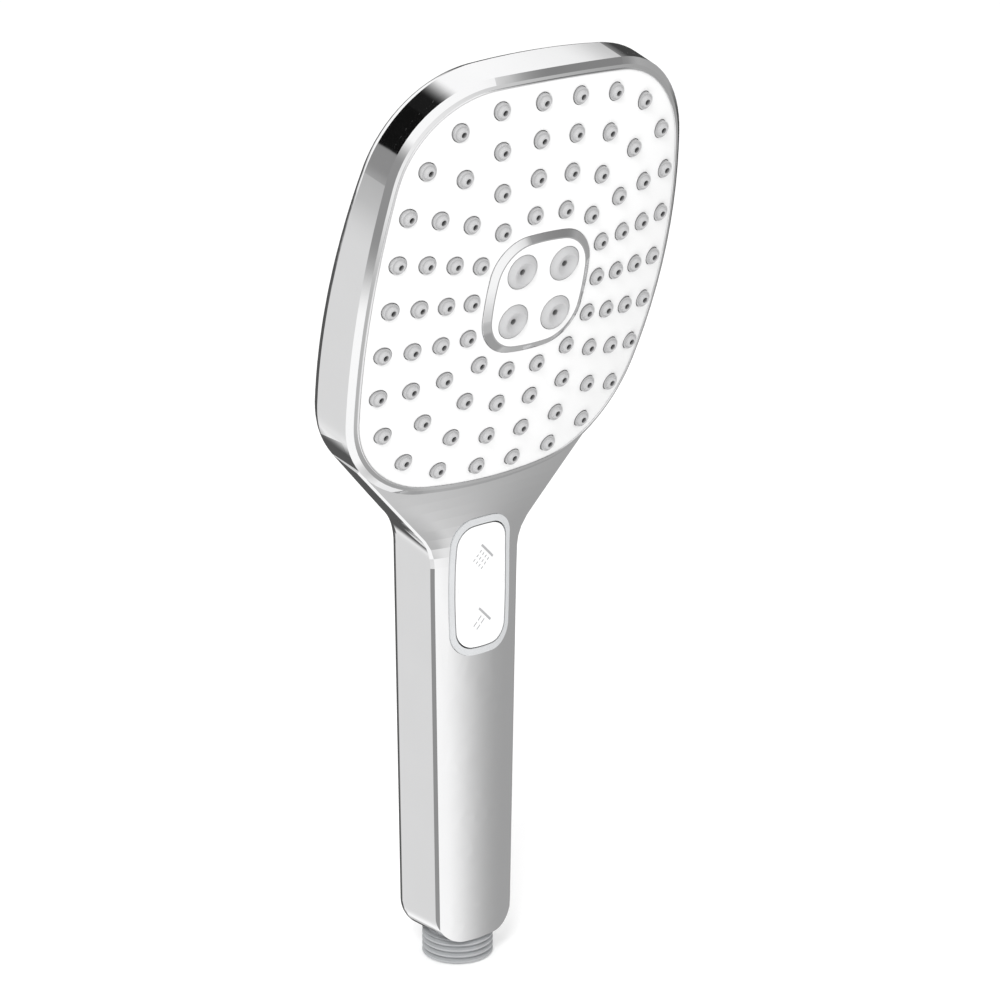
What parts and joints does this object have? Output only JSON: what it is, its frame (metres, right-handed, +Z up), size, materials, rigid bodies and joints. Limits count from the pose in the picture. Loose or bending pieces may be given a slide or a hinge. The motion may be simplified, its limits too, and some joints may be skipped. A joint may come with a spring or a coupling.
{
  "type": "handheld shower head",
  "caption": "Handheld shower head with a domed square face of small rain nozzles around a raised massage insert, a rocker diverter on the handle and a threaded inlet below.",
  "frame": {"origin": "centre of the open end of the inlet thread", "axes": "+Z up the handle along the thread axis, -Y the side the spray leaves, +X to the right when facing the spray"},
  "size_m": [0.112, 0.0587, 0.2752],
  "materials": {
    "rear_shell": "bright chrome plating on moulded plastic",
    "front_frame": "bright chrome plating on moulded plastic",
    "face_plate": "gloss white",
    "nozzle_mat": "matt grey silicone",
    "centre_ring": "bright chrome plating on moulded plastic",
    "centre_plate": "gloss white",
    "massage_mat": "matt grey silicone",
    "jet_plate": "moulded",
    "chamber_seal": "matt",
    "massage_seal": "matt",
    "distributor": "moulded",
    "distributor_screws": "bright",
    "rocker_bezel": "satin grey",
    "rocker_button": "gloss white",
    "rocker_icons": "grey inlay",
    "rocker_lever": "moulded acetal",
    "rocker_pin": "ground",
    "valve_body": "moulded",
    "valve_screws": "bright",
    "valve_cap": "moulded",
    "cap_ring": "matt",
    "diverter_spool": "moulded acetal",
    "spool_rings": "greased",
    "rain_duct": "moulded",
    "massage_duct": "moulded",
    "duct_rings": "matt",
    "water_tube": "extruded",
    "tube_rings": "matt",
    "inlet_connector": "satin grey",
    "inlet_strainer": "moulded",
    "flow_limiter": "moulded",
    "limiter_ring": "matt",
    "check_cage": "moulded",
    "check_poppet": "moulded acetal",
    "check_spring": "bright"
  },
  "bodies": {
    "housing": {"rear_shell": "rear_shell", "front_frame": "front_frame", "face_plate": "face_plate", "nozzle_mat": "nozzle_mat", "centre_ring": "centre_ring", "centre_plate": "centre_plate", "massage_mat": "massage_mat", "jet_plate": "jet_plate", "chamber_seal": "chamber_seal", "massage_seal": "massage_seal", "distributor": "distributor", "distributor_screws": "distributor_screws", "rocker_bezel": "rocker_bezel", "rocker_pin": "rocker_pin", "valve_body": "valve_body", "valve_screws": "valve_screws", "valve_cap": "valve_cap", "cap_ring": "cap_ring", "rain_duct": "rain_duct", "massage_duct": "massage_duct", "duct_rings": "duct_rings", "water_tube": "water_tube", "tube_rings": "tube_rings", "inlet_connector": "inlet_connector", "inlet_strainer": "inlet_strainer", "flow_limiter": "flow_limiter", "limiter_ring": "limiter_ring", "check_cage": "check_cage", "check_spring": "check_spring"},
    "rocker": {"rocker_button": "rocker_button", "rocker_icons": "rocker_icons", "rocker_lever": "rocker_lever"},
    "spool": {"diverter_spool": "diverter_spool", "spool_rings": "spool_rings"},
    "check_poppet": {"check_poppet": "check_poppet"}
  },
  "joints": [
    {"name": "rocker_tilt", "type": "hinge", "parent": "housing", "child": "rocker", "pos_m": [0, -0.0086, 0.1175], "axis": [1, 0, 0], "range_deg": [-8.5, 8.5]},
    {"name": "spool_slide", "type": "slide", "parent": "housing", "child": "spool", "axis": [0, 0, 1], "range_m": [-0.0012, 0.0012]},
    {"name": "check_lift", "type": "slide", "parent": "housing", "child": "check_poppet", "axis": [0, 0, 1], "range_m": [0, 0.002], "stiffness_N_per_m": 60, "springref_m": -0.002, "deforming": ["check_spring"]}
  ],
  "couplings": [
    {"joint": "rocker_tilt", "follows": "spool_slide", "rad_per_m": 116.28}
  ]
}
